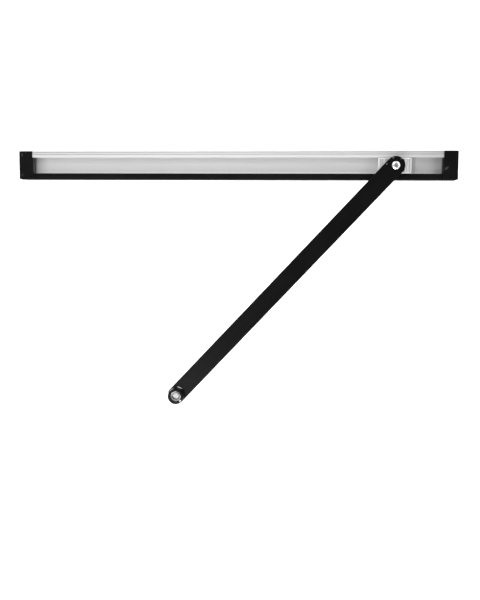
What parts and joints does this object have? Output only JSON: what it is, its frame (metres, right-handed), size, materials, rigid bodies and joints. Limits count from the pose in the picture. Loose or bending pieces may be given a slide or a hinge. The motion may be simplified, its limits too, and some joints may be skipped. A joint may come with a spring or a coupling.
{
  "type": "door closer slide rail and arm",
  "caption": "Slide rail with a sliding block, pivoting flat arm and spindle socket hub, the linkage set of an overhead door closer.",
  "frame": {"origin": "centre of the fixing holes, in the plane of the rail's back face", "axes": "+X along the rail, +Y out of the back face towards the surface it is screwed to, +Z out of the slot towards the arm"},
  "size_m": [0.44, 0.2556, 0.036],
  "materials": {
    "satin_aluminium": "satin natural anodised extrusion, fine lines along its length",
    "black_cover": "satin black, smooth",
    "black_plastic": "moulded black, fine texture",
    "buffer_rubber": "black rubber",
    "slider_plastic": "moulded light grey, slightly glossy",
    "zinc_steel": "bright zinc plate",
    "bright_steel": "bright nickel plate",
    "black_polymer": "black bearing polymer",
    "black_paint": "satin black powder coat",
    "hub_paint": "satin black powder coat, socket wall bare",
    "clip_steel": "phosphated spring steel"
  },
  "bodies": {
    "rail": {"rail_profile": "satin_aluminium", "front_cover": "black_cover", "end_cap_left": "black_plastic", "end_cap_right": "black_plastic", "end_buffer_left": "buffer_rubber", "end_buffer_right": "buffer_rubber"},
    "slider": {"slider_body": "slider_plastic", "slider_nut": "zinc_steel", "spacer_washer": "black_polymer", "pivot_screw": "bright_steel"},
    "arm": {"arm_bar": "black_paint", "eye_bush": "black_polymer", "arm_hub": "hub_paint", "hub_screw": "zinc_steel", "hub_spring_washer": "zinc_steel", "screw_clip": "clip_steel"}
  },
  "joints": [
    {"name": "slider_travel", "type": "slide", "parent": "rail", "child": "slider", "axis": [1, 0, 0], "range_m": [-0.3471, 0.0291]},
    {"name": "arm_pivot", "type": "hinge", "parent": "slider", "child": "arm", "pos_m": [0.1597, -0.0145, 0.0195], "axis": [0, 0, 1], "range_deg": [-45, 131]}
  ]
}
